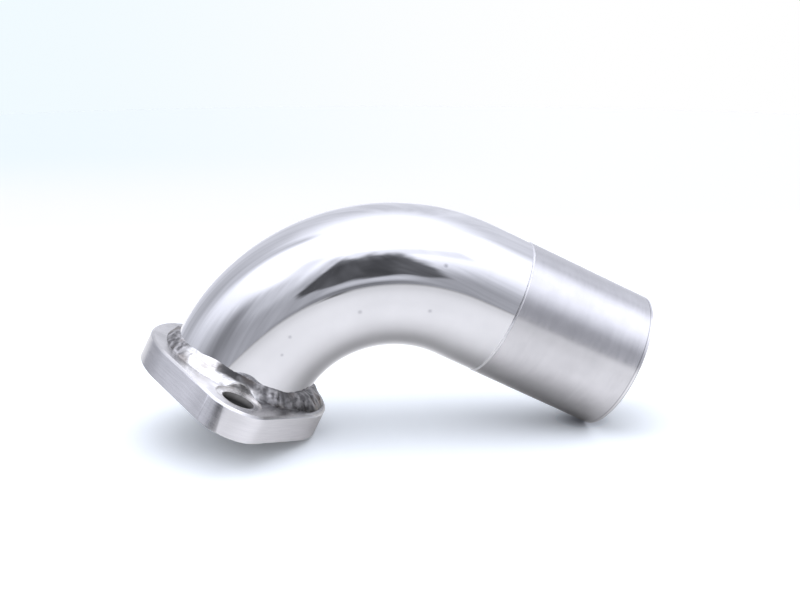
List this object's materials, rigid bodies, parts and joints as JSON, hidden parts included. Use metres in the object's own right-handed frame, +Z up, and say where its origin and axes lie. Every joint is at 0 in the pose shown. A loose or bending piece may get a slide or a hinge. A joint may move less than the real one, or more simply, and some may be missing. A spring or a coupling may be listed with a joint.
{
  "type": "crankcase breather elbow",
  "caption": "Welded metal breather elbow: two-eared bolt flange, weld bead, polished quarter-turn tube and a satin straight outlet for a hose, lying as it rests.",
  "frame": {"origin": "centre of the bounding box's foot, on the table the elbow lies on", "axes": "+X from the flange towards the open outlet, +Y across the elbow through the two bolt ears, +Z up"},
  "size_m": [0.1378, 0.071, 0.062],
  "materials": {
    "flange": "machined and brushed",
    "polished_tube": "mirror polished",
    "satin_tube": "satin, brushed round the tube",
    "weld": "rippled weld, dulled by heat"
  },
  "bodies": {
    "root": {"flange_plate": "flange", "bend_tube": "polished_tube", "outlet_tube": "satin_tube", "flange_weld": "weld"}
  },
  "joints": []
}
